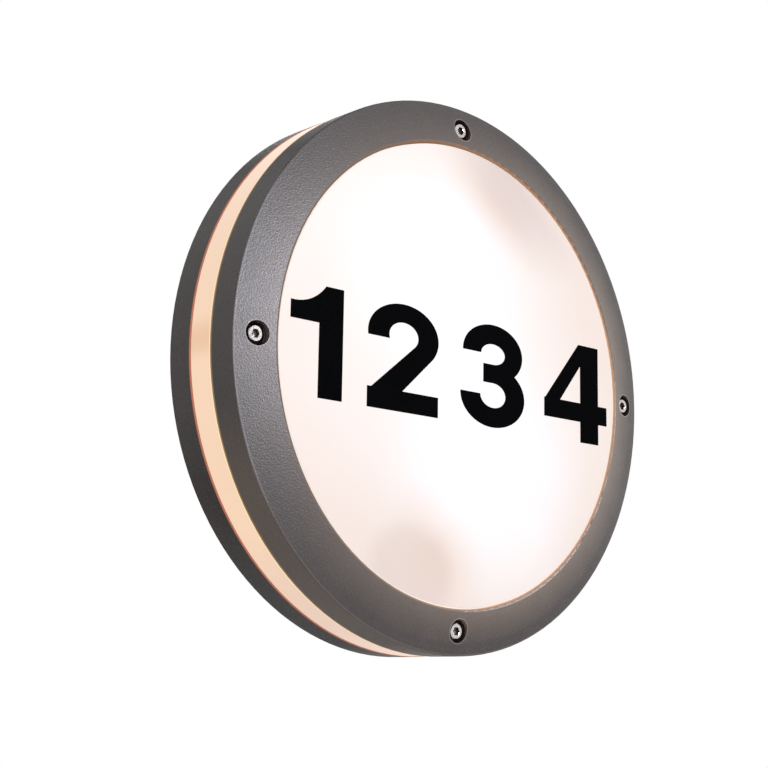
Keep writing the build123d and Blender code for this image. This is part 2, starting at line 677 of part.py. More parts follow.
def holder_bracket():
    """Folded steel angle: a foot on two bosses and an upright behind the lampholder."""
    foot_low = BOSS_TOP - LAMP_DEPTH
    high = HOLDER_R * 0.82
    back = HOLDER_END
    centre = (foot_low + high) / 2
    upright = block((high - foot_low, BRACKET_WIDTH, BRACKET_THICK), back, (centre, 0))
    upright = fillet(upright.edges().filter_by(Axis.Z).group_by(Axis.X)[-1], BRACKET_WIDTH / 6)
    foot_centre = foot_low + BRACKET_THICK / 2
    foot = block((BRACKET_THICK, BRACKET_WIDTH, BRACKET_THICK + BRACKET_FOOT), back, (foot_centre, 0))
    angle = upright + foot
    inner = angle.edges().filter_by(Axis.Y).filter_by(
        lambda e: abs(e.center().X - foot_low - BRACKET_THICK) < 0.01
        and abs(e.center().Z - back - BRACKET_THICK) < 0.01
    )
    angle = fillet(inner, BRACKET_THICK)
    for side in (-1, 1):
        place = (0, side * HOLDER_SCREW_SPACING / 2)
        angle -= rod(M3_R + WIRE_GAP, back, back + BRACKET_THICK, place)
    angle = LAMP_FRAME * angle
    for place in bracket_screw_places():
        angle -= rod(M4_R + WIRE_GAP, BOSS_TOP, BOSS_TOP + BRACKET_THICK, place)
    return angle


def bracket_screws():
    screw = small_screw(M4_R, BRACKET_THICK, SCREW_SOLE)
    return separate([Pos(*place, BOSS_TOP + BRACKET_THICK) * screw for place in BRACKET_SCREWS])


def holder_screws():
    screw = small_screw(M3_R, BRACKET_THICK, SCREW_SOLE)
    seat = HOLDER_END + BRACKET_THICK
    pair = [
        LAMP_FRAME * Pos(0, side * HOLDER_SCREW_SPACING / 2, seat) * screw for side in (-1, 1)
    ]
    return separate([Rot(0, 0, turn) * one for turn in LAMP_TURNS.values() for one in pair])


# ---------------------------------------------------------------- terminal block and earth
def terminal_block():
    body = block(BLOCK_SIZE, BLOCK_RISE, (0, BLOCK_UP))
    body = fillet(body.edges().filter_by(Axis.Z), 1.5)
    low = CLAMP_DEPTH - CLAMP_SIZE[2] / 2
    for x in POLES.values():
        pocket = (CLAMP_SIZE[0] + 0.1, BLOCK_SIZE[1], CLAMP_SIZE[2] + 0.1)
        body -= block(pocket, low - 0.05, (x, BLOCK_UP))
        for side in (-1, 1):
            place = (x, BLOCK_UP + side * CLAMP_SCREW_SPACING / 2)
            body -= rod(M3_R + 0.5, CLAMP_DEPTH, BLOCK_TOP, place)
    for place in BLOCK_SCREWS:
        body -= rod(M3_R + WIRE_GAP / 2, BLOCK_RISE, BLOCK_TOP, place)
        body -= rod(M3_R * 1.9 + 0.1, BLOCK_TOP - 3, BLOCK_TOP, place)
    return body


def terminal_clamps():
    """Brass tube of each pole, open at both ends for the wires."""
    clamp = block(CLAMP_SIZE, CLAMP_DEPTH - CLAMP_SIZE[2] / 2)
    mouth = (CLAMP_MOUTH[0], CLAMP_SIZE[1], CLAMP_MOUTH[1])
    clamp -= block(mouth, CLAMP_DEPTH - CLAMP_MOUTH[1] / 2)
    for side in (-1, 1):
        place = (0, side * CLAMP_SCREW_SPACING / 2)
        clamp -= rod(M3_R + SCREW_FIT, CLAMP_DEPTH, CLAMP_DEPTH + CLAMP_SIZE[2] / 2, place)
    return separate([Pos(x, BLOCK_UP, 0) * clamp for x in POLES.values()])


def terminal_clamp_screws():
    """Slotted grub screws, two to a pole."""
    low = CLAMP_DEPTH + CLAMP_MOUTH[1] / 2
    high = BLOCK_TOP - 1.2
    grub = rod(M3_R, low, high) - block((2 * M3_R, 0.6, 1), high - 0.8)
    screws = []
    for x in POLES.values():
        for side in (-1, 1):
            screws.append(Pos(x, BLOCK_UP + side * CLAMP_SCREW_SPACING / 2, 0) * grub)
    return separate(screws)


def terminal_fixing_screws():
    seat = BLOCK_TOP - 3
    screw = small_screw(M3_R, seat - BLOCK_RISE, SCREW_SOLE)
    return separate([Pos(*place, seat) * screw for place in BLOCK_SCREWS])


def earth_lug():
    """Tinned ring on the earth boss, with the barrel that grips the earth wire."""
    lug = rod(BOSS_R - 0.3, BOSS_TOP, BOSS_TOP + LUG_THICK, EARTH_AT)
    neck_y = EARTH_AT[1] + BOSS_R + 1
    lug += block((*LUG_NECK, LUG_THICK), BOSS_TOP, (EARTH_AT[0], neck_y))
    high = BARREL_LOW + BARREL_LENGTH
    barrel = Rot(-90, 0, 0) * rod(WIRE_R + BARREL_WALL, BARREL_LOW, high)
    lug += Pos(EARTH_AT[0], 0, EARTH_WIRE_DEPTH) * barrel
    bore = Rot(-90, 0, 0) * rod(WIRE_R + WIRE_GAP / 2, BARREL_LOW + BARREL_WALL, high)
    lug -= Pos(EARTH_AT[0], 0, EARTH_WIRE_DEPTH) * bore
    return lug - rod(M4_R + WIRE_GAP, BOSS_TOP, BOSS_TOP + LUG_THICK, EARTH_AT)


def earth_screw():
    screw = small_screw(M4_R, LUG_THICK, SCREW_SOLE)
    return Pos(*EARTH_AT, BOSS_TOP + LUG_THICK) * screw


# ---------------------------------------------------------------- wires inside the lamp
def wire(points):
    """Round wire along a route, with every corner as wide as its two runs allow."""
    stops = [Vector(*p) for p in points]
    radii = []
    for before, corner, after in zip(stops, stops[1:], stops[2:]):
        arrive, leave = corner - before, after - corner
        shorter = min(arrive.length, leave.length)
        turn = radians(arrive.get_angle(leave))
        radii.append(0.45 * shorter / tan(turn / 2))
    path = FilletPolyline(*stops, radius=radii)
    return sweep(Plane(origin=path @ 0, z_dir=path % 0) * Circle(WIRE_R), path=path)


def from_pole(pole, level):
    """First two points of a wire: inside its clamp, then straight out of the block."""
    x = POLES[pole]
    depth = CLAMP_LEVELS[level]
    return [(x, BLOCK_EDGE - WIRE_GRIP, depth), (x, BLOCK_EDGE + BLOCK_LEAD, depth)]


def into_holder(side, turn):
    """Last two points: square to the lampholder's side, then down in its port."""
    ends = []
    for y in (HOLDER_R + HOLDER_LEAD, WIRE_SINK_Y + WIRE_GAP):
        p = on_lamp(side * WIRE_SPREAD / 2, y, WIRE_PORT)
        flip = cos(radians(turn))
        ends.append((flip * p.X, flip * p.Y, p.Z))
    return ends


def lamp_wires():
    """The four wires between the block and the lampholders, by node name."""
    routes = {
        "upper_neutral_wire": ("neutral", 0, UPPER_NEUTRAL_WAY, -1, "upper"),
        "upper_live_wire": ("live", 1, UPPER_LIVE_WAY, 1, "upper"),
        "lower_live_wire": ("live", 0, LOWER_LIVE_WAY, -1, "lower"),
        "lower_neutral_wire": ("neutral", 1, LOWER_NEUTRAL_WAY, 1, "lower"),
    }
    for name, (pole, level, way, side, lamp) in routes.items():
        ends = into_holder(side, LAMP_TURNS[lamp])
        yield name, wire([*from_pole(pole, level), *way, *ends])


def earth_wire():
    mouth = BARREL_LOW + BARREL_LENGTH
    ends = [(EARTH_AT[0], y, EARTH_WIRE_DEPTH) for y in (mouth + BARREL_LEAD, mouth - BARREL_GRIP)]
    return wire([*from_pole("earth", 0), *EARTH_WAY, *ends])


# ---------------------------------------------------------------- nodes
def hang(shape):
    """Turn a piece drawn on its back onto the wall: up is +Z and the front faces -Y."""
    return Plane.XZ.location * shape


def nodes():
    yield "base_housing", base_housing()
    yield "wall_seal", wall_seal()
    yield "reflector", reflector()
    yield "cable_grommet", cable_grommet()
    yield "side_diffuser", side_diffuser()
    yield "rear_band_seal", band_seal(BAND_REAR)
    yield "front_band_seal", band_seal(BAND_FRONT - BAND_SEAL_THICK)
    yield "front_ring", front_ring()
    yield "front_diffuser", front_diffuser()
    yield "front_seal", front_seal()
    yield "diffuser_clips", diffuser_clips()
    yield "clip_screws", clip_screws()
    yield "cover_screw_seals", cover_screw_seals()
    for place, angle in COVER_SCREWS.items():
        yield f"cover_screw_{place}", cover_screw(angle)
    for number, figure in enumerate(figures(), start=1):
        yield f"digit_{number}", figure
    lamp_pieces = {
        "lamp_globe": lamp_globe(),
        "lamp_housing": lamp_housing(),
        "lamp_board": lamp_board(),
        "lamp_cap": lamp_cap(),
        "lamp_insulator": lamp_insulator(),
        "lamp_tip": lamp_tip(),
        "lampholder_body": lampholder_body(),
        "lampholder_sleeve": lampholder_sleeve(),
        "lampholder_contact": lampholder_contact(),
        "holder_bracket": holder_bracket(),
    }
    for lamp, turn in LAMP_TURNS.items():
        for name, piece in lamp_pieces.items():
            yield f"{lamp}_{name}", Rot(0, 0, turn) * piece
    yield "bracket_screws", bracket_screws()
    yield "holder_screws", holder_screws()
    yield "terminal_block", terminal_block()
    yield "terminal_clamps", terminal_clamps()
    yield "terminal_clamp_screws", terminal_clamp_screws()
    yield "terminal_fixing_screws", terminal_fixing_screws()
    yield "earth_lug", earth_lug()
    yield "earth_screw", earth_screw()
    yield "earth_wire", earth_wire()
    yield from lamp_wires()


os.makedirs("parts", exist_ok=True)
for name, shape in nodes():
    export_step(hang(shape), f"parts/{name}.step")
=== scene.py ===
from math import cos, pi, radians, sin, tau

import bmesh
import bpy
from mathutils import Matrix, Vector


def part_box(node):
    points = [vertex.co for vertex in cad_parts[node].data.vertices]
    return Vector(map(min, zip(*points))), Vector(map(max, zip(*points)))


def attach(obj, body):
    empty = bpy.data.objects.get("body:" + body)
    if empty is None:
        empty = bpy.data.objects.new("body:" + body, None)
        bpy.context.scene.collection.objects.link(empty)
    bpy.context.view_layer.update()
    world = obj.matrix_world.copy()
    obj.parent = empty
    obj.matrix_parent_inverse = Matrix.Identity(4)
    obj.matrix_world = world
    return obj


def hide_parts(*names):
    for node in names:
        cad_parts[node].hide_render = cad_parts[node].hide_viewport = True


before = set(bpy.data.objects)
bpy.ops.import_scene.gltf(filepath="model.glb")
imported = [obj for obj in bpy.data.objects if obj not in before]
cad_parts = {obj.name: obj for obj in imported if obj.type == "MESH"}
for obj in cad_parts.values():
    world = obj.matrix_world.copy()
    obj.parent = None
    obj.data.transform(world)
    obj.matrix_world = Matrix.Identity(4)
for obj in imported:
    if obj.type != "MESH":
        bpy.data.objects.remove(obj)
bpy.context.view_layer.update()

# ------------------------------------------------------------------ camera
# The lamp is seen from its left and a little below, at the reach of an arm, as in the
# photograph. The lens and place come from fitting its rims, band and screws.
PHOTO_PIXELS = 768
FOCAL_PIXELS = 1553.1
CAMERA_AZIMUTH = radians(41.821)
CAMERA_ELEVATION = radians(-10.715)
CAMERA_ROLL = radians(1.011)
CAMERA_DISTANCE = 0.87416
CAMERA_ASIDE = -0.004965
CAMERA_UP = 0.001025
SENSOR_WIDTH = 36
NEAREST_SEEN = 0.01


def photo_camera():
    backward = Vector((
        -sin(CAMERA_AZIMUTH) * cos(CAMERA_ELEVATION),
        -cos(CAMERA_AZIMUTH) * cos(CAMERA_ELEVATION),
        sin(CAMERA_ELEVATION),
    ))
    level = Vector((cos(CAMERA_AZIMUTH), -sin(CAMERA_AZIMUTH), 0))
    upward = backward.cross(level)
    right = level * cos(CAMERA_ROLL) + upward * sin(CAMERA_ROLL)
    up = upward * cos(CAMERA_ROLL) - level * sin(CAMERA_ROLL)
    place = backward * CAMERA_DISTANCE + right * CAMERA_ASIDE + up * CAMERA_UP
    data = bpy.data.cameras.new("photo_camera")
    data.sensor_width = SENSOR_WIDTH
    data.lens = FOCAL_PIXELS * SENSOR_WIDTH / PHOTO_PIXELS
    data.clip_start = NEAREST_SEEN
    camera = bpy.data.objects.new("photo_camera", data)
    bpy.context.collection.objects.link(camera)
    turn = Matrix((right, up, backward)).transposed().to_4x4()
    camera.matrix_world = Matrix.Translation(place) @ turn
    return camera


bpy.context.scene.camera = photo_camera()
bpy.context.scene.view_settings.view_transform = "Standard"

# ------------------------------------------------------------------ studio
# A white room with large soft lamps. The world is white where the camera or a gloss looks at
# it and a weaker grey where it only fills shadows; the pale floor lies well below the lamp.
FILL = 0.2
FILL_TINT = (1.0, 0.93, 0.87, 1)
PLAIN_WHITE = (1, 1, 1, 1)
FLOOR_PALE = (0.86, 0.86, 0.85, 1)
FLOOR_ROUGH = 0.9
FLOOR_DROP = 0.55
FLOOR_SIDE = 9.0
FLOOR_FADE = (1.1, 2.6)  # from the middle of the floor, out to where it is white
STUDIO_LAMPS = (
    # name, azimuth, elevation, distance, side, watts, tint; azimuth 0 is straight in front
    ("key_window", 19.5, 15, 1.6, 0.50, 30, (0.82, 0.88, 1.0)),
    ("rim_window", -16, 12, 1.6, 0.25, 8, (0.95, 0.95, 1.0)),
    ("right_softbox", 68, 8, 1.8, 0.8, 1.3, (1, 1, 1)),
    ("back_softbox", 160, 14, 2.0, 1.2, 16, (1, 1, 1)),
)


def finish_tree(name):
    """New material with its node tree, its links and its one shader."""
    material = bpy.data.materials.new(name)
    material.use_nodes = True
    nodes, links = material.node_tree.nodes, material.node_tree.links
    return material, nodes, links, nodes["Principled BSDF"]


def place_of(nodes):
    return nodes.new("ShaderNodeTexCoord").outputs["Object"]


def feed(links, value, socket):
    """Set a plain value on a socket, or link another node's output to it."""
    if isinstance(value, bpy.types.NodeSocket):
        links.new(value, socket)
    else:
        socket.default_value = value


def add_math(nodes, links, operation, *values):
    node = nodes.new("ShaderNodeMath")
    node.operation = operation
    for value, socket in zip(values, node.inputs):
        feed(links, value, socket)
    return node.outputs[0]


def add_vector_math(nodes, links, operation, *values, result="Vector"):
    """As add_math, on vectors; the result of a length or a dot product is a Value."""
    node = nodes.new("ShaderNodeVectorMath")
    node.operation = operation
    for value, socket in zip(values, node.inputs):
        feed(links, value, socket)
    return node.outputs[result]


def add_step(nodes, links, value, start, end, low=0.0, high=1.0, kind="SMOOTHSTEP"):
    """Smooth step of a value, from low at start to high at end."""
    step = nodes.new("ShaderNodeMapRange")
    step.interpolation_type = kind
    step.inputs["From Min"].default_value = start
    step.inputs["From Max"].default_value = end
    step.inputs["To Min"].default_value = low
    step.inputs["To Max"].default_value = high
    links.new(value, step.inputs["Value"])
    return step.outputs["Result"]


def add_range(nodes, links, mask, low, high, socket):
    """Spread a 0 to 1 mask evenly between two values of a socket."""
    links.new(add_step(nodes, links, mask, 0.0, 1.0, low, high, "LINEAR"), socket)


def add_mix(nodes, links, factor, first, second):
    """Mix of two colours, each a plain tone or the output of another node."""
    mix = nodes.new("ShaderNodeMix")
    mix.data_type = "RGBA"
    feed(links, first, mix.inputs["A"])
    feed(links, second, mix.inputs["B"])
    links.new(factor, mix.inputs["Factor"])
    return mix.outputs["Result"]


def seen_directly(nodes, links):
    """1 where the camera, a gloss or a clear pane looks, 0 where light only fills."""
    path = nodes.new("ShaderNodeLightPath")
    seen = path.outputs["Is Camera Ray"]
    for kind in ("Is Glossy Ray", "Is Transmission Ray"):
        seen = add_math(nodes, links, "MAXIMUM", seen, path.outputs[kind])
    return seen


def white_room():
    world = bpy.data.worlds.new("white_room")
    world.use_nodes = True
    nodes, links = world.node_tree.nodes, world.node_tree.links
    background = nodes["Background"]
    direct = seen_directly(nodes, links)
    add_range(nodes, links, direct, FILL, 1.0, background.inputs["Strength"])
    tint = add_mix(nodes, links, direct, FILL_TINT, PLAIN_WHITE)
    links.new(tint, background.inputs["Color"])
    bpy.context.scene.world = world


def object_from(form, name):
    """Object at the origin from a finished form."""
    mesh = bpy.data.meshes.new(name)
    form.to_mesh(mesh)
    form.free()
    made = bpy.data.objects.new(name, mesh)
    bpy.context.collection.objects.link(made)
    return made


def studio_floor():
    """Pale floor whose far part fades into the white of the room."""
    form = bmesh.new()
    bmesh.ops.create_grid(form, x_segments=2, y_segments=2, size=FLOOR_SIDE / 2)
    bmesh.ops.translate(form, verts=form.verts, vec=(0, 0, -FLOOR_DROP))
    floor = object_from(form, "floor")
    paint, nodes, links, near = finish_tree("pale_floor")
    near.inputs["Base Color"].default_value = FLOOR_PALE
    near.inputs["Roughness"].default_value = FLOOR_ROUGH
    away = add_vector_math(nodes, links, "LENGTH", place_of(nodes), result="Value")
    fade = add_step(nodes, links, away, *FLOOR_FADE)
    white = add_math(nodes, links, "MULTIPLY", fade, seen_directly(nodes, links))
    far = nodes.new("ShaderNodeEmission")
    mix = nodes.new("ShaderNodeMixShader")
    links.new(white, mix.inputs["Fac"])
    links.new(near.outputs["BSDF"], mix.inputs[1])
    links.new(far.outputs["Emission"], mix.inputs[2])
    links.new(mix.outputs["Shader"], nodes["Material Output"].inputs["Surface"])
    floor.data.materials.append(paint)


def soft_lamp(name, azimuth, elevation, distance, side, watts, tint):
    """Square lamp that faces the middle of the object."""
    data = bpy.data.lights.new(name, "AREA")
    data.shape = "SQUARE"
    data.size = side
    data.energy = watts
    data.color = tint
    lamp = bpy.data.objects.new(name, data)
    bpy.context.collection.objects.link(lamp)
    turn, rise = radians(azimuth), radians(elevation)
    away = Vector((sin(turn) * cos(rise), -cos(turn) * cos(rise), sin(rise)))
    lamp.location = away * distance
    lamp.rotation_euler = (-lamp.location).to_track_quat("-Z", "Y").to_euler()


white_room()
studio_floor()
for studio_lamp in STUDIO_LAMPS:
    soft_lamp(*studio_lamp)

# ------------------------------------------------------------------ cast base and front ring
# Two aluminium castings, blasted and powder coated in a fine-textured anthracite, with a grain
# of under a millimetre that sparkles a little where light grazes it. The lit opals beside them
# spill warm light on their edges.
GRAIN_DETAIL = 1.5
GRAIN_ROUGHNESS = 0.62
CLOUD_DETAIL = 2.0
CLOUD_SHARE = 0.35  # of the slow cloud in the mask
MASK_SPAN = (0.42, 0.92)
COAT_GRAIN = (1100, 60)  # grain and cloud per metre
COAT_DARK = (0.017, 0.014, 0.012)
COAT_LIGHT = (0.042, 0.034, 0.030)
COAT_ROUGH = (0.40, 0.32)  # where the coat is dark and where it is light
COAT_BUMP = (1.0, 0.00010)  # strength and height
RING_SHEEN = 0.45
BASE_SHEEN = 0.36
SHEEN_GRAZING = 0.03
SHEEN_FADE = (0.42, 0.80)  # the sheen is lost as the face turns away between these
COAT_SHEEN_TINT = (1.0, 0.92, 0.90, 1)
UNLIT = (0, 0, 0, 1)
RING_SPILL = (0.28, 0.140, 0.045, 1)  # the band's light on the ring's rear edge
BASE_SPILL = (0.42, 0.140, 0.080, 1)  # and on the base's front edge
RING_SPILL_REACH = -0.0019
BASE_SPILL_REACH = 0.0011
SPILL_FULL = 0.4  # share of the reach at which the spilled light is full
EDGE_ROUND = 0.0004
RING_REAR_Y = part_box("front_band_seal")[0][1]
BASE_FRONT_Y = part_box("rear_band_seal")[1][1] - EDGE_ROUND
# The masks below rise from 0 at their first distance to 1 at their second, in metres.
SKIRT_R = 0.1500
SKIRT = (SKIRT_R - 0.0012, SKIRT_R - 0.0006)
FLOOR_BOUNCE = (0.041, 0.030, 0.023, 1)  # light from below on the ring's side
BOUNCE_HEIGHT = (-0.03, -0.105)
SCREW_CIRCLE_R = 0.137
WELL_R = 0.0062
WELL_SHADE = (0.034, 0.023, 0.019, 1)
WELL_INSIDE = (WELL_R + 0.00015, WELL_R + 0.00005)
# painted highlight: a lighter coat round the mouth of each well
WELL_RIM_HIGHLIGHT = (0.11, 0.10, 0.095, 1)
WELL_RIM_INSIDE = (WELL_R + 0.0007, WELL_R + 0.0003)
FACE_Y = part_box("front_ring")[0][1]
OPAL_STEP = 0.0056  # by this much the opal front's step reaches behind the lip
LIP_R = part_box("front_diffuser")[1][0] - OPAL_STEP
LIP_GLOW = (0.145, 0.108, 0.084, 1)  # what the lit opal front spills on the ring's face
LIP_GLOW_REACH = 0.0225
LIP_GLOW_FALL = 1.5
LIP_GLOW_DEEP = (FACE_Y + 0.004, FACE_Y + 0.003)
LIP_WALL_GLOW = (0.60, 0.29, 0.13, 1)  # the lip's inner wall stands in that light
LIP_WALL = (LIP_R + 0.0017, LIP_R + 0.0009)
LIP_WALL_SHIFT = 0.0010  # less of the wall is lit on the bright side
BRIGHT_SIDE = (0.94, 0, -0.34)  # the spilled light is strongest at the lower right
BRIGHT_SPAN = (-0.10, 0.11)
DIM_SIDE_SHARE = 0.3
RIM_HIGHLIGHT = (0.105, 0.100, 0.102, 1)  # painted highlight: a lighter coat on the face's outer edge, where the rim catches light
RIM_EDGE_INNER = (SKIRT_R - 0.0012, SKIRT_R - 0.0008)
RIM_EDGE_OUTER = (SKIRT_R, SKIRT_R - 0.0002)
RIM_EDGE_DEEP = (FACE_Y + 0.008, FACE_Y + 0.007)
RIM_EDGE_SIDE = (-0.118, -0.140)


def dress(material, *names):
    for name in names:
        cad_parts[name].material_slots[0].material = material


def grain_group():
    """Fine grain with a slower cloud under it: one height for bump, one mask for colour."""
    group = bpy.data.node_groups.new("surface_grain", "ShaderNodeTree")
    face = group.interface
    face.new_socket("Place", in_out="INPUT", socket_type="NodeSocketVector")
    face.new_socket("Grain", in_out="INPUT", socket_type="NodeSocketFloat")
    face.new_socket("Cloud", in_out="INPUT", socket_type="NodeSocketFloat")
    face.new_socket("Height", in_out="OUTPUT", socket_type="NodeSocketFloat")
    face.new_socket("Mask", in_out="OUTPUT", socket_type="NodeSocketFloat")
    nodes, links = group.nodes, group.links
    given = nodes.new("NodeGroupInput")
    result = nodes.new("NodeGroupOutput")
    fine = nodes.new("ShaderNodeTexNoise")
    fine.inputs["Detail"].default_value = GRAIN_DETAIL
    fine.inputs["Roughness"].default_value = GRAIN_ROUGHNESS
    slow = nodes.new("ShaderNodeTexNoise")
    slow.inputs["Detail"].default_value = CLOUD_DETAIL
    for noise, scale in ((fine, "Grain"), (slow, "Cloud")):
        links.new(given.outputs["Place"], noise.inputs["Vector"])
        links.new(given.outputs[scale], noise.inputs["Scale"])
    both = add_math(
        nodes, links, "MULTIPLY_ADD", slow.outputs["Fac"], CLOUD_SHARE, fine.outputs["Fac"])
    links.new(fine.outputs["Fac"], result.inputs["Height"])
    mask = add_step(nodes, links, both, *MASK_SPAN, kind="LINEAR")
    links.new(mask, result.inputs["Mask"])
    return group


GRAIN = grain_group()


def add_grain(nodes, links, grain, cloud):
    """Height and mask of the grain, at so many grains and clouds per metre."""
    node = nodes.new("ShaderNodeGroup")
    node.node_tree = GRAIN
    node.inputs["Grain"].default_value = grain
    node.inputs["Cloud"].default_value = cloud
    links.new(place_of(nodes), node.inputs["Place"])
    return node.outputs["Height"], node.outputs["Mask"]


def add_bump(nodes, links, height, shader, strength, depth):
    bump = nodes.new("ShaderNodeBump")
    bump.inputs["Strength"].default_value = strength
    bump.inputs["Distance"].default_value = depth
    links.new(height, bump.inputs["Height"])
    links.new(bump.outputs["Normal"], shader.inputs["Normal"])


def add_two_tones(nodes, links, mask, shader, dark, light):
    links.new(add_mix(nodes, links, mask, dark, light), shader.inputs["Base Color"])


def grained_finish(name, dark, light, rough, grain, bump=None):
    """Two close tones and a span of roughness, all on one grain that also makes the bump."""
    material, nodes, links, shader = finish_tree(name)
    height, mask = add_grain(nodes, links, *grain)
    add_two_tones(nodes, links, mask, shader, dark + (1,), light + (1,))
    add_range(nodes, links, mask, *rough, shader.inputs["Roughness"])
    if bump:
        add_bump(nodes, links, height, shader, *bump)
    return material, nodes, links, shader


def distance_from_axis(nodes, links):
    """Radius about the lamp's centre line, in metres."""
    flat = add_vector_math(nodes, links, "MULTIPLY", place_of(nodes), (1, 0, 1))
    return add_vector_math(nodes, links, "LENGTH", flat, result="Value")


def add_parts(nodes, links, place):
    """The x, y and z of a place."""
    part = nodes.new("ShaderNodeSeparateXYZ")
    links.new(place, part.inputs["Vector"])
    return part.outputs["X"], part.outputs["Y"], part.outputs["Z"]


def add_product(nodes, links, *masks):
    total = masks[0]
    for mask in masks[1:]:
        total = add_math(nodes, links, "MULTIPLY", total, mask)
    return total


def anthracite_coat(name, gloss):
    """The coat with its grain; it glows only where a caller links an emission colour."""
    material, nodes, links, shader = grained_finish(
        name, COAT_DARK, COAT_LIGHT, COAT_ROUGH, COAT_GRAIN, COAT_BUMP)
    shader.inputs["Specular IOR Level"].default_value = gloss
    shader.inputs["Specular Tint"].default_value = COAT_SHEEN_TINT
    shader.inputs["Emission Strength"].default_value = 1.0
    turned = nodes.new("ShaderNodeLayerWeight").outputs["Facing"]
    sheen = add_step(nodes, links, turned, *SHEEN_FADE, gloss, SHEEN_GRAZING)
    links.new(sheen, shader.inputs["Specular IOR Level"])
    return material, nodes, links, shader


def band_spill(nodes, links, skirt, deep, edge, reach):
    """1 on the side's edge beside the lit band, 0 beyond its signed reach from that edge."""
    beside = add_step(nodes, links, deep, edge + reach, edge + reach * SPILL_FULL)
    return add_product(nodes, links, skirt, beside)


def distance_from_screws(nodes, links):
    """Distance from the nearest cap screw's axis, from the place folded onto one quarter."""
    folded = add_vector_math(nodes, links, "ABSOLUTE", place_of(nodes))
    across, _deep, up = add_parts(nodes, links, folded)
    far = add_math(nodes, links, "MAXIMUM", across, up)
    flat = nodes.new("ShaderNodeCombineXYZ")
    links.new(add_math(nodes, links, "SUBTRACT", far, SCREW_CIRCLE_R), flat.inputs["X"])
    links.new(add_math(nodes, links, "MINIMUM", across, up), flat.inputs["Z"])
    return add_vector_math(nodes, links, "LENGTH", flat.outputs["Vector"], result="Value")


def add_ring_tones(nodes, links, shader, radius, across, deep):
    """Paint shade in the wells, and highlights on their rims and on the face's outer edge at the
    left.
    """
    off = distance_from_screws(nodes, links)
    tone = shader.inputs["Base Color"].links[0].from_socket
    # a painted highlight round each well's mouth, then painted shade inside the wells
    for span, colour in ((WELL_RIM_INSIDE, WELL_RIM_HIGHLIGHT), (WELL_INSIDE, WELL_SHADE)):
        tone = add_mix(nodes, links, add_step(nodes, links, off, *span), tone, colour)
    # a painted highlight on the face's outer edge, on its left side only
    edge = add_product(
        nodes, links,
        add_step(nodes, links, radius, *RIM_EDGE_INNER),
        add_step(nodes, links, radius, *RIM_EDGE_OUTER),
        add_step(nodes, links, deep, *RIM_EDGE_DEEP),
        add_step(nodes, links, across, *RIM_EDGE_SIDE),
    )
    links.new(add_mix(nodes, links, edge, tone, RIM_HIGHLIGHT), shader.inputs["Base Color"])


def front_ring_coat():
    """The coat: painted shade in wells, a painted edge highlight, light from band, front and
    floor.
    """
    material, nodes, links, shader = anthracite_coat("anthracite_front_ring", RING_SHEEN)
    place = place_of(nodes)
    across, deep, up = add_parts(nodes, links, place)
    radius = distance_from_axis(nodes, links)
    add_ring_tones(nodes, links, shader, radius, across, deep)

    bright = add_vector_math(nodes, links, "DOT_PRODUCT", place, BRIGHT_SIDE, result="Value")
    shift = add_step(nodes, links, bright, *BRIGHT_SPAN, 0.0, LIP_WALL_SHIFT)
    wall = add_step(nodes, links, add_math(nodes, links, "ADD", radius, shift), *LIP_WALL)
    rough = shader.inputs["Roughness"].links[0].from_socket
    matt = add_mix(nodes, links, wall, rough, PLAIN_WHITE)  # white is a roughness of 1
    links.new(matt, shader.inputs["Roughness"])

    near = add_step(nodes, links, radius, LIP_R + LIP_GLOW_REACH, LIP_R, kind="LINEAR")
    skirt = add_step(nodes, links, radius, *SKIRT)
    bounce = add_product(nodes, links, skirt, add_step(nodes, links, up, *BOUNCE_HEIGHT))
    spill = band_spill(nodes, links, skirt, deep, RING_REAR_Y, RING_SPILL_REACH)
    colour = add_mix(nodes, links, wall, LIP_GLOW, LIP_WALL_GLOW)
    colour = add_mix(nodes, links, bounce, colour, FLOOR_BOUNCE)
    colour = add_mix(nodes, links, spill, colour, RING_SPILL)
    level = add_product(
        nodes, links,
        add_math(nodes, links, "POWER", near, LIP_GLOW_FALL),
        add_step(nodes, links, deep, *LIP_GLOW_DEEP),
        add_step(nodes, links, bright, *BRIGHT_SPAN, DIM_SIDE_SHARE, 1.0),
    )
    for other in (bounce, spill):
        level = add_math(nodes, links, "MAXIMUM", level, other)
    links.new(add_mix(nodes, links, level, UNLIT, colour), shader.inputs["Emission Color"])
    return material


def base_coat():
    """The coat, with a red glow painted on the edge beside the lit band."""
    material, nodes, links, shader = anthracite_coat("anthracite_base", BASE_SHEEN)
    _across, deep, _up = add_parts(nodes, links, place_of(nodes))
    skirt = add_step(nodes, links, distance_from_axis(nodes, links), *SKIRT)
    spill = band_spill(nodes, links, skirt, deep, BASE_FRONT_Y, BASE_SPILL_REACH)
    links.new(add_mix(nodes, links, spill, UNLIT, BASE_SPILL), shader.inputs["Emission Color"])
    return material


dress(base_coat(), "base_housing")
dress(front_ring_coat(), "front_ring")

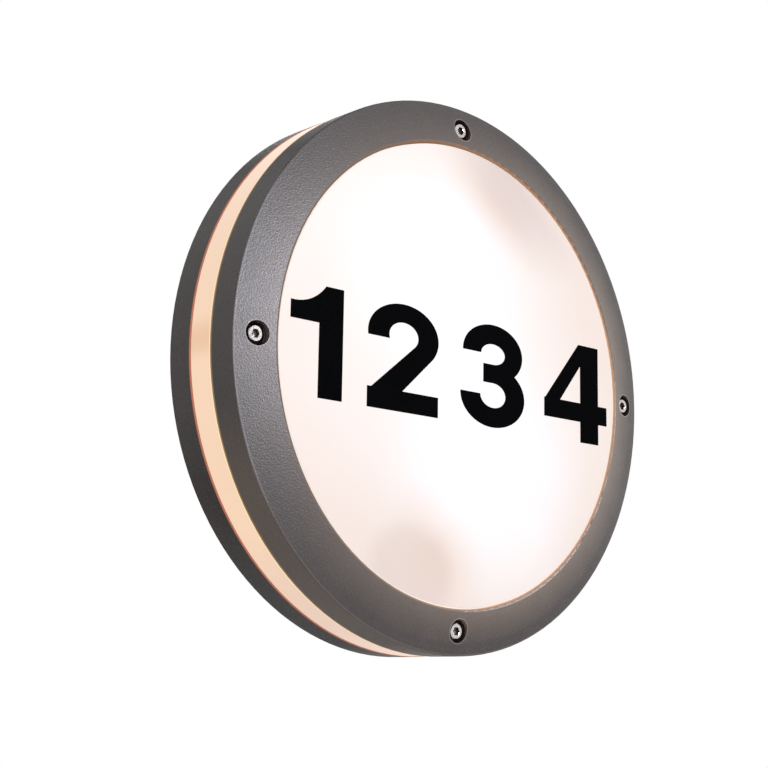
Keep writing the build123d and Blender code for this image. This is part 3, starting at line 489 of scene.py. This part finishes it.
# ------------------------------------------------------------------ opal front
# A satin opal disc, injection moulded, lit from behind by the two globes. They glow as two
# white clouds, and each lampholder throws a soft grey shadow beside its own globe.
OPAL_GLOSS = 0.3
OPAL_GRAIN = (2600, 90)
OPAL_BUMP = (0.12, 0.00004)
FRONT_ROUGH = 0.38
FRONT_BODY = (0.12, 0.12, 0.12, 1)
FRONT_GLOW = (0.681, 0.545, 0.466)
GLOW_CLOUDS = (
    # centre x and z, reach along and across, in metres; tilt in degrees; softness; tone added
    ((-0.018, 0.066), (0.132, 0.093), 3, 1.0, (0.112, 0.215, 0.282)),
    ((0.021, -0.050), (0.102, 0.086), -60, 0.6, (0.057, 0.105, 0.164)),
    ((0.005, -0.018), (0.140, 0.095), 0, 0.54, (0.045, 0.085, 0.11)),
    ((0.015, -0.092), (0.070, 0.035), 5, 0.44, (0.017, 0.038, 0.038)),
    ((-0.011, 0.055), (0.065, 0.048), -26, 1.0, (-0.053, -0.056, 0.117)),
)
SHADOW_CLOUDS = (
    ((0.036, 0.112), (0.087, 0.027), -36, 0.94, (-0.18, -0.205, -0.20)),
    ((0.024, 0.096), (0.068, 0.020), -35, 1.0, (-0.092, -0.154, -0.189)),
    ((-0.036, -0.109), (0.038, 0.032), -8, 0.46, (-0.085, -0.088, -0.075)),
    ((-0.016, -0.095), (0.047, 0.031), -40, 1.0, (-0.061, -0.131, -0.185)),
)


def light_value(level):
    """Linear value of a colour channel given as 0 to 255 on a screen, by the usual curve."""
    share = level / 255
    return share / 12.92 if share <= 0.04045 else ((share + 0.055) / 1.055) ** 2.4


def screen_tone(levels, strength=1.0, less=0.0):
    """Linear colour of a screen tone, less the light that the room adds to it."""
    return tuple(light_value(level) * strength - less for level in levels) + (1.0,)


FRONT_EDGE = screen_tone((255, 252, 246), less=0.16)  # brighter line along the ring's lip
FRONT_EDGE_REACH = (LIP_R - 0.0008, LIP_R - 0.0004)
CLOUD_THROUGH = 10.0  # a cloud reaches through the whole depth of the lamp


def cloud_group():
    """Soft oval mask on the x-z plane: 1 inside, 0 outside its reach."""
    group = bpy.data.node_groups.new("oval_cloud", "ShaderNodeTree")
    face = group.interface
    for name in ("Place", "Centre", "Turn", "Reach"):
        face.new_socket(name, in_out="INPUT", socket_type="NodeSocketVector")
    face.new_socket("Softness", in_out="INPUT", socket_type="NodeSocketFloat")
    face.new_socket("Mask", in_out="OUTPUT", socket_type="NodeSocketFloat")
    nodes, links = group.nodes, group.links
    given = nodes.new("NodeGroupInput")
    result = nodes.new("NodeGroupOutput")
    fit = nodes.new("ShaderNodeMapping")
    fit.vector_type = "TEXTURE"
    fitted = {"Place": "Vector", "Centre": "Location", "Turn": "Rotation", "Reach": "Scale"}
    for source, socket in fitted.items():
        links.new(given.outputs[source], fit.inputs[socket])
    ball = nodes.new("ShaderNodeTexGradient")
    ball.gradient_type = "SPHERICAL"
    links.new(fit.outputs["Vector"], ball.inputs["Vector"])
    soft = nodes.new("ShaderNodeMapRange")
    soft.interpolation_type = "SMOOTHSTEP"
    links.new(ball.outputs["Fac"], soft.inputs["Value"])
    links.new(given.outputs["Softness"], soft.inputs["From Max"])
    links.new(soft.outputs["Result"], result.inputs["Mask"])
    return group


CLOUD = cloud_group()


def add_clouds(nodes, links, colour, clouds):
    """Adds each cloud's tone to a colour where its mask lies."""
    for centre, reach, tilt, softness, tone in clouds:
        cloud = nodes.new("ShaderNodeGroup")
        cloud.node_tree = CLOUD
        cloud.inputs["Centre"].default_value = (centre[0], 0, centre[1])
        cloud.inputs["Turn"].default_value = (0, -radians(tilt), 0)
        cloud.inputs["Reach"].default_value = (reach[0], CLOUD_THROUGH, reach[1])
        cloud.inputs["Softness"].default_value = softness
        links.new(place_of(nodes), cloud.inputs["Place"])
        mask = cloud.outputs["Mask"]
        colour = add_vector_math(nodes, links, "MULTIPLY_ADD", mask, tone, colour)
    return colour


def satin_opal(name, body, rough):
    """Opal with its moulded surface; a caller links the colour of its glow."""
    material, nodes, links, shader = finish_tree(name)
    shader.inputs["Base Color"].default_value = body
    shader.inputs["Roughness"].default_value = rough
    shader.inputs["Specular IOR Level"].default_value = OPAL_GLOSS
    shader.inputs["Emission Strength"].default_value = 1.0
    height, _mask = add_grain(nodes, links, *OPAL_GRAIN)
    add_bump(nodes, links, height, shader, *OPAL_BUMP)
    return material, nodes, links, shader


def lit_front():
    material, nodes, links, shader = satin_opal("lit_opal_front", FRONT_BODY, FRONT_ROUGH)
    colour = add_clouds(nodes, links, FRONT_GLOW, GLOW_CLOUDS + SHADOW_CLOUDS)
    edge = add_step(nodes, links, distance_from_axis(nodes, links), *FRONT_EDGE_REACH)
    colour = add_mix(nodes, links, edge, colour, FRONT_EDGE)
    links.new(colour, shader.inputs["Emission Color"])
    return material


dress(lit_front(), "front_diffuser")

# ------------------------------------------------------------------ opal band
# The moulded opal ring that the two castings clamp. It glows cream, darker in front of the
# four screw pillars, with an orange line by its rear seal and a bright one by its front seal.
BAND_ROUGH = 0.35
BAND_BODY = (0.14, 0.12, 0.10, 1)
ROOM_ON_BAND = 0.07  # what the room's light adds to the band
SKY_ON_BAND = 0.15  # what the white room adds where the band turns up and is seen at a slant
FLOOR_ON_BAND = 0.03  # what the floor adds where the band turns down
BAND_LOW = screen_tone((226, 199, 183), less=ROOM_ON_BAND + FLOOR_ON_BAND)
BAND_MID = screen_tone((245, 213, 186), less=ROOM_ON_BAND)
BAND_HIGH = screen_tone((253, 228, 210), less=ROOM_ON_BAND + SKY_ON_BAND)
BAND_PILLAR = screen_tone((234, 196, 166), less=ROOM_ON_BAND)
BAND_REAR_LINE = screen_tone((238, 158, 122), less=ROOM_ON_BAND)
BAND_FRONT_LINE = screen_tone((255, 234, 190), less=ROOM_ON_BAND)
BAND_UPPER = (-0.02, 0.12)
BAND_LOWER = (-0.085, -0.145)
BAND_REAR_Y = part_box("rear_band_seal")[0][1]
BAND_FRONT_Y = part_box("front_band_seal")[1][1]
BAND_REAR_EDGE = (BAND_REAR_Y - 0.0008, BAND_REAR_Y)
BAND_FRONT_EDGE = (BAND_FRONT_Y + 0.0007, BAND_FRONT_Y + 0.0002)
PILLAR_SHADOW = (0.013, 0.001)  # along the band, from a pillar's centre line


def lit_band():
    material, nodes, links, shader = satin_opal("lit_opal_band", BAND_BODY, BAND_ROUGH)
    across, deep, up = add_parts(nodes, links, place_of(nodes))
    sizes = [add_math(nodes, links, "ABSOLUTE", way) for way in (across, up)]
    from_pillar = add_math(nodes, links, "MINIMUM", *sizes)
    colour = BAND_MID
    for value, span, tone in (
        (up, BAND_UPPER, BAND_HIGH),
        (up, BAND_LOWER, BAND_LOW),
        (from_pillar, PILLAR_SHADOW, BAND_PILLAR),
        (deep, BAND_REAR_EDGE, BAND_REAR_LINE),
        (deep, BAND_FRONT_EDGE, BAND_FRONT_LINE),
    ):
        colour = add_mix(nodes, links, add_step(nodes, links, value, *span), colour, tone)
    links.new(colour, shader.inputs["Emission Color"])
    return material


dress(lit_band(), "side_diffuser")

# ------------------------------------------------------------------ figures
# Four plain figures, cut from matt black vinyl foil and stuck on the face of the opal front.
# The foil has next to no gloss, and a slight unevenness from the glue under it.
FOIL_GRAIN = (900, 40)
FOIL_DARK = (0.0004, 0.0004, 0.0005)
FOIL_LIGHT = (0.0008, 0.0008, 0.0009)
FOIL_ROUGH = (0.62, 0.5)
FOIL_GLOSS = 0.006


def black_foil():
    material, _nodes, _links, shader = grained_finish(
        "black_vinyl_foil", FOIL_DARK, FOIL_LIGHT, FOIL_ROUGH, FOIL_GRAIN)
    shader.inputs["Specular IOR Level"].default_value = FOIL_GLOSS
    return material


dress(black_foil(), "digit_1", "digit_2", "digit_3", "digit_4")

# ------------------------------------------------------------------ cap screws
# Four M5 cap screws of stainless steel: a knurled head with a chamfered top and a hexagon
# socket, and a turned shank with a rolled thread, sunk in the ring's wells on rubber seals.
HEAD_R = 0.00425
HEAD_HIGH = 0.005
SOCKET_FLATS = 0.004
SOCKET_DEEP = 0.0025
SHANK_R = 0.0025
THREAD_PITCH = 0.0008
THREAD_CORE = 0.9  # of the shank's radius, between the crests
BARE_SHANK = 0.010  # between the last full turn of thread and the head, at least
KNURLS = 36
KNURL_DEEP = 0.00016
RING_STEPS = 144  # points round the head: four to a knurl, twenty-four to a side of the socket
SOCKET_LOOPS = slice(-5, -1)  # of the loops that draw a screw, those of the socket
METAL_GRAIN = 900
METAL_CLOUD = 120
METAL_ROUGH = (0.8, 1.3)  # shares of its roughness between which a metal varies
METAL_BUMP = (0.15, 0.00002)


def ring_of(form, z, radius_at):
    """Closed loop of edges at height z, its radius a function of the angle."""
    made = bmesh.ops.create_circle(form, segments=RING_STEPS, radius=1.0)
    for step, vert in enumerate(made["verts"]):
        angle = tau * step / RING_STEPS
        radius = radius_at(angle)
        vert.co = (radius * cos(angle), radius * sin(angle), z)
    inside = set(made["verts"])
    return [edge for edge in form.edges if edge.verts[0] in inside and edge.verts[1] in inside]


def plain(radius):
    return lambda angle: radius


def hexagon_radius(flats):
    """Radius of a hexagon, measured across its flats, as a function of the angle."""
    return lambda angle: flats / 2 / cos((angle % (pi / 3)) - pi / 6)


def knurled(radius, depth):
    return lambda angle: radius - depth * (0.5 - 0.5 * cos(KNURLS * angle))


def cap_screw(name):
    """Screw drawn upright at its seat, then laid in the well that its node fills."""
    low, high = Vector(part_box(name)[0]), Vector(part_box(name)[1])
    length = high.y - low.y
    tip = HEAD_HIGH - length
    floor_z = HEAD_HIGH - SOCKET_DEEP
    # Each ring has its height, and its radius as a function of the angle: the tip's chamfer
    # and the thread, the bare shank, the knurled head with its chamfer, then the socket.
    rings = [
        (tip, plain(SHANK_R * 0.72)),
        (tip + SHANK_R * 0.3, plain(SHANK_R * 0.93)),
    ]
    turns = int((-tip - BARE_SHANK) / THREAD_PITCH)
    for turn in range(turns):
        start = tip + SHANK_R * 0.35 + turn * THREAD_PITCH
        rings.append((start, plain(SHANK_R * THREAD_CORE)))
        rings.append((start + THREAD_PITCH / 2, plain(SHANK_R)))
    rings += [
        (-0.0012, plain(SHANK_R * 0.97)),
        (0.0, plain(SHANK_R * 0.99)),
        (0.0, plain(HEAD_R - 0.0002)),
        (0.0002, knurled(HEAD_R, 0.00005)),
        (0.0004, knurled(HEAD_R, KNURL_DEEP)),
        (HEAD_HIGH - 0.0007, knurled(HEAD_R, KNURL_DEEP)),
        (HEAD_HIGH - 0.0004, knurled(HEAD_R - 0.0001, 0.00004)),
        (HEAD_HIGH - 0.00012, plain(HEAD_R - 0.00038)),
        (HEAD_HIGH, plain(HEAD_R - 0.0005)),
        (HEAD_HIGH, plain(SOCKET_FLATS * 0.61)),
        (HEAD_HIGH - 0.0001, hexagon_radius(SOCKET_FLATS * 1.04)),
        (HEAD_HIGH - 0.0002, hexagon_radius(SOCKET_FLATS)),
        (floor_z + 0.0001, hexagon_radius(SOCKET_FLATS)),
        (floor_z, hexagon_radius(SOCKET_FLATS * 0.94)),
        (floor_z - 0.0001, plain(SOCKET_FLATS * 0.16)),
        (floor_z - 0.0005, plain(SOCKET_FLATS * 0.04)),
    ]
    form = bmesh.new()
    loops = [ring_of(form, z, radius_at) for z, radius_at in rings]
    for below, above in zip(loops, loops[1:]):
        sides = bmesh.ops.bridge_loops(form, edges=below + above)["faces"]
        # the socket's sides take the second, darker steel: painted shade
        if above in loops[SOCKET_LOOPS]:
            for face in sides:
                face.material_index = 1
    for loop in (loops[0], loops[-1]):
        bmesh.ops.edgeloop_fill(form, edges=loop)
    bmesh.ops.recalc_face_normals(form, faces=form.faces)
    laid = Matrix.Rotation(pi / 2, 3, "X")
    bmesh.ops.rotate(form, verts=form.verts, cent=(0, 0, 0), matrix=laid)
    seat = Vector(((low.x + high.x) / 2, low.y + HEAD_HIGH, (low.z + high.z) / 2))
    bmesh.ops.translate(form, verts=form.verts, vec=seat)
    return object_from(form, name + "_piece")


def bare_metal(name, dark, light, rough, grain=METAL_GRAIN):
    """Plated or bare metal: two close tones, with roughness and small scuffs from one grain."""
    span = [rough * share for share in METAL_ROUGH]
    material, _nodes, _links, shader = grained_finish(
        name, dark, light, span, (grain, METAL_CLOUD), METAL_BUMP)
    shader.inputs["Metallic"].default_value = 1.0
    return material


STAINLESS = bare_metal("stainless_steel", (0.50, 0.46, 0.44), (0.72, 0.68, 0.66), 0.07)
# painted shade: a darker steel for the shade deep in each hexagon socket
SOCKET_SHADE_STEEL = bare_metal("socket_shade_steel", (0.11, 0.09, 0.08), (0.20, 0.17, 0.15), 0.35)
for side in ("right", "top", "left", "bottom"):
    node = f"cover_screw_{side}"
    screw = cap_screw(node)
    screw.data.materials.append(STAINLESS)
    screw.data.materials.append(SOCKET_SHADE_STEEL)
    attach(screw, node)
    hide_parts(node)

# ------------------------------------------------------------------ seals and grommet
# Black rubber under the cap screws, behind the band, on the wall side and round the cable;
# milky silicone between the ring, the opal front and the band.
RUBBER_GRAIN = (1100, 70)
RUBBER_BUMP = (0.3, 0.00008)
RUBBER_TONES = ((0.010, 0.010, 0.010), (0.022, 0.021, 0.021))
RUBBER_ROUGH = 0.6
RUBBER_SPREAD = 0.15  # of the roughness, upwards
RUBBER_GLOSS = 0.25
SEAL_GLOW = (0.22, 0.06, 0.03, 1)  # the band shines a little through its rear seal


def rubber(name, dark, light, rough, gloss, glow=UNLIT):
    """Matt moulded rubber in two close tones; glow is light that it lets through."""
    span = (rough, rough + RUBBER_SPREAD)
    material, _nodes, _links, shader = grained_finish(
        name, dark, light, span, RUBBER_GRAIN, RUBBER_BUMP)
    shader.inputs["Specular IOR Level"].default_value = gloss
    if glow != UNLIT:
        shader.inputs["Emission Color"].default_value = glow
        shader.inputs["Emission Strength"].default_value = 1.0
    return material


BLACK_RUBBER = rubber("black_rubber", *RUBBER_TONES, RUBBER_ROUGH, RUBBER_GLOSS)
LIT_RUBBER = rubber("lit_rubber", *RUBBER_TONES, RUBBER_ROUGH, RUBBER_GLOSS, SEAL_GLOW)
dress(BLACK_RUBBER, "cover_screw_seals", "wall_seal", "cable_grommet")
dress(LIT_RUBBER, "rear_band_seal")
MILKY_SILICONE = rubber("milky_silicone", (0.34, 0.27, 0.20), (0.46, 0.38, 0.30), 0.45, 0.4)
dress(MILKY_SILICONE, "front_seal", "front_band_seal")

# ------------------------------------------------------------------ clips and small screws
# Four flat clips of stainless spring strip, under stainless screws, hold the opal front in the
# ring. The lampholders' folded brackets, their screws and the terminal block's are zinc plated.
ZINC_GRAIN = 500
ZINC = bare_metal("zinc_plate", (0.42, 0.43, 0.44), (0.60, 0.60, 0.58), 0.34, ZINC_GRAIN)
SPRING_STRIP = bare_metal("spring_strip", (0.30, 0.30, 0.30), (0.44, 0.43, 0.42), 0.30)
dress(SPRING_STRIP, "diffuser_clips")
dress(STAINLESS, "clip_screws")
dress(ZINC, "bracket_screws", "holder_screws", "terminal_clamp_screws", "terminal_fixing_screws")
dress(ZINC, "upper_holder_bracket", "lower_holder_bracket")

# ------------------------------------------------------------------ reflector
# A sheet of aluminium, blanked round the base's bosses and lacquered gloss white, that lies on
# the base's floor and throws the light forward.
LACQUER_DARK = (0.74, 0.73, 0.70)
LACQUER_LIGHT = (0.80, 0.79, 0.77)
LACQUER_ROUGH = (0.22, 0.34)
LACQUER_GRAIN = (260, 18)
LACQUER_BUMP = (0.08, 0.00005)
LACQUER_COAT = 0.3


def white_lacquer():
    material, _nodes, _links, shader = grained_finish(
        "white_lacquer", LACQUER_DARK, LACQUER_LIGHT, LACQUER_ROUGH, LACQUER_GRAIN, LACQUER_BUMP)
    shader.inputs["Coat Weight"].default_value = LACQUER_COAT
    return material


dress(white_lacquer(), "reflector")

# ------------------------------------------------------------------ lamps
# Two small globe lamps: satin opal globe, moulded white housing, board, nickel-plated screw
# cap with a black glass insulator and a tinned tip.
GLOBE_BODY = (0.55, 0.52, 0.47, 1)
GLOBE_ROUGH = 0.4
GLOBE_GRAIN = (2200, 30)
GLOBE_BUMP = (0.08, 0.00003)
GLOBE_GLOW_LOW = screen_tone((255, 244, 222))
GLOBE_GLOW_HIGH = screen_tone((255, 250, 236), 1.15)
MOULDED_GRAIN = 1400
MOULDED_CLOUD = 45
MOULDED_BUMP = (0.12, 0.00005)
MOULDED_SPREAD = 0.12  # of the roughness, upwards
MOULDED_GLOSS = 0.5


def lit_globe():
    material, nodes, links, shader = finish_tree("lit_globe")
    shader.inputs["Base Color"].default_value = GLOBE_BODY
    shader.inputs["Roughness"].default_value = GLOBE_ROUGH
    height, mask = add_grain(nodes, links, *GLOBE_GRAIN)
    glow = add_mix(nodes, links, mask, GLOBE_GLOW_LOW, GLOBE_GLOW_HIGH)
    links.new(glow, shader.inputs["Emission Color"])
    shader.inputs["Emission Strength"].default_value = 1.0
    add_bump(nodes, links, height, shader, *GLOBE_BUMP)
    return material


def moulded(name, dark, light, rough, grain=MOULDED_GRAIN, gloss=MOULDED_GLOSS):
    """Moulded or glazed piece in two close tones, with a faint surface of its mould."""
    span = (rough, rough + MOULDED_SPREAD)
    material, _nodes, _links, shader = grained_finish(
        name, dark, light, span, (grain, MOULDED_CLOUD), MOULDED_BUMP)
    shader.inputs["Specular IOR Level"].default_value = gloss
    return material


LAMP_FINISHES = {
    "lamp_globe": lit_globe(),
    "lamp_housing": moulded("lamp_housing_white", (0.76, 0.76, 0.75), (0.82, 0.82, 0.81), 0.32),
    "lamp_board": moulded("board_white", (0.70, 0.72, 0.72), (0.80, 0.81, 0.80), 0.4),
    "lamp_cap": bare_metal("nickel_plate", (0.52, 0.50, 0.47), (0.70, 0.68, 0.64), 0.2),
    "lamp_insulator": moulded("black_glass", (0.010, 0.010, 0.010), (0.02, 0.02, 0.02), 0.08),
    "lamp_tip": bare_metal("tin_plate", (0.55, 0.54, 0.52), (0.68, 0.67, 0.65), 0.3),
}
for lamp in ("upper", "lower"):
    for piece, finish in LAMP_FINISHES.items():
        dress(finish, f"{lamp}_{piece}")

# ------------------------------------------------------------------ lampholders
# Porcelain cups, pressed and glazed white, with a drawn brass sleeve and a sprung brass
# contact. Each is screwed to its bracket.
GLAZE_GRAIN = 120
GLAZE_GLOSS = 0.6
GLAZE = moulded(
    "white_glaze", (0.80, 0.79, 0.76), (0.86, 0.85, 0.82), 0.06, GLAZE_GRAIN, GLAZE_GLOSS)
BRASS = bare_metal("drawn_brass", (0.56, 0.40, 0.17), (0.74, 0.56, 0.28), 0.26)
for lamp in ("upper", "lower"):
    dress(GLAZE, f"{lamp}_lampholder_body")
    dress(BRASS, f"{lamp}_lampholder_sleeve", f"{lamp}_lampholder_contact")

# ------------------------------------------------------------------ terminal block and earth
# A three-pole block of natural nylon with brass clamps, screwed to the base, and a tinned lug
# for the earth wire under a brass screw on its own boss.
NATURAL_NYLON = moulded("natural_nylon", (0.66, 0.64, 0.57), (0.74, 0.72, 0.66), 0.42)
dress(NATURAL_NYLON, "terminal_block")
dress(BRASS, "terminal_clamps", "earth_screw")
dress(LAMP_FINISHES["lamp_tip"], "earth_lug")

# ------------------------------------------------------------------ wires
# Single cores in coloured silicone, gripped at both ends: brown and blue from the block to
# each lampholder, green and yellow to the earth lug.
WIRE_ROUGH = 0.42
WIRE_GRAIN = 1800
WIRE_GLOSS = 0.4
EARTH_GREEN = (0.03, 0.22, 0.04, 1)
EARTH_YELLOW = (0.75, 0.60, 0.05, 1)
STRIPES_PER_METRE = 90
STRIPE_EDGE = (0.45, 0.55)


def wire_skin(name, dark, light):
    return moulded(name, dark, light, WIRE_ROUGH, WIRE_GRAIN, WIRE_GLOSS)


def earth_skin():
    """Green insulation with slanting yellow stripes."""
    material, nodes, links, shader = finish_tree("earth_wire")
    wave = nodes.new("ShaderNodeTexWave")
    wave.bands_direction = "DIAGONAL"
    wave.inputs["Scale"].default_value = STRIPES_PER_METRE
    links.new(place_of(nodes), wave.inputs["Vector"])
    stripe = add_step(nodes, links, wave.outputs["Fac"], *STRIPE_EDGE)
    add_two_tones(nodes, links, stripe, shader, EARTH_GREEN, EARTH_YELLOW)
    shader.inputs["Roughness"].default_value = WIRE_ROUGH
    return material


BROWN_WIRE = wire_skin("brown_wire", (0.10, 0.038, 0.016), (0.15, 0.06, 0.028))
BLUE_WIRE = wire_skin("blue_wire", (0.02, 0.075, 0.30), (0.035, 0.11, 0.38))
dress(BROWN_WIRE, "upper_live_wire", "lower_live_wire")
dress(BLUE_WIRE, "upper_neutral_wire", "lower_neutral_wire")
dress(earth_skin(), "earth_wire")
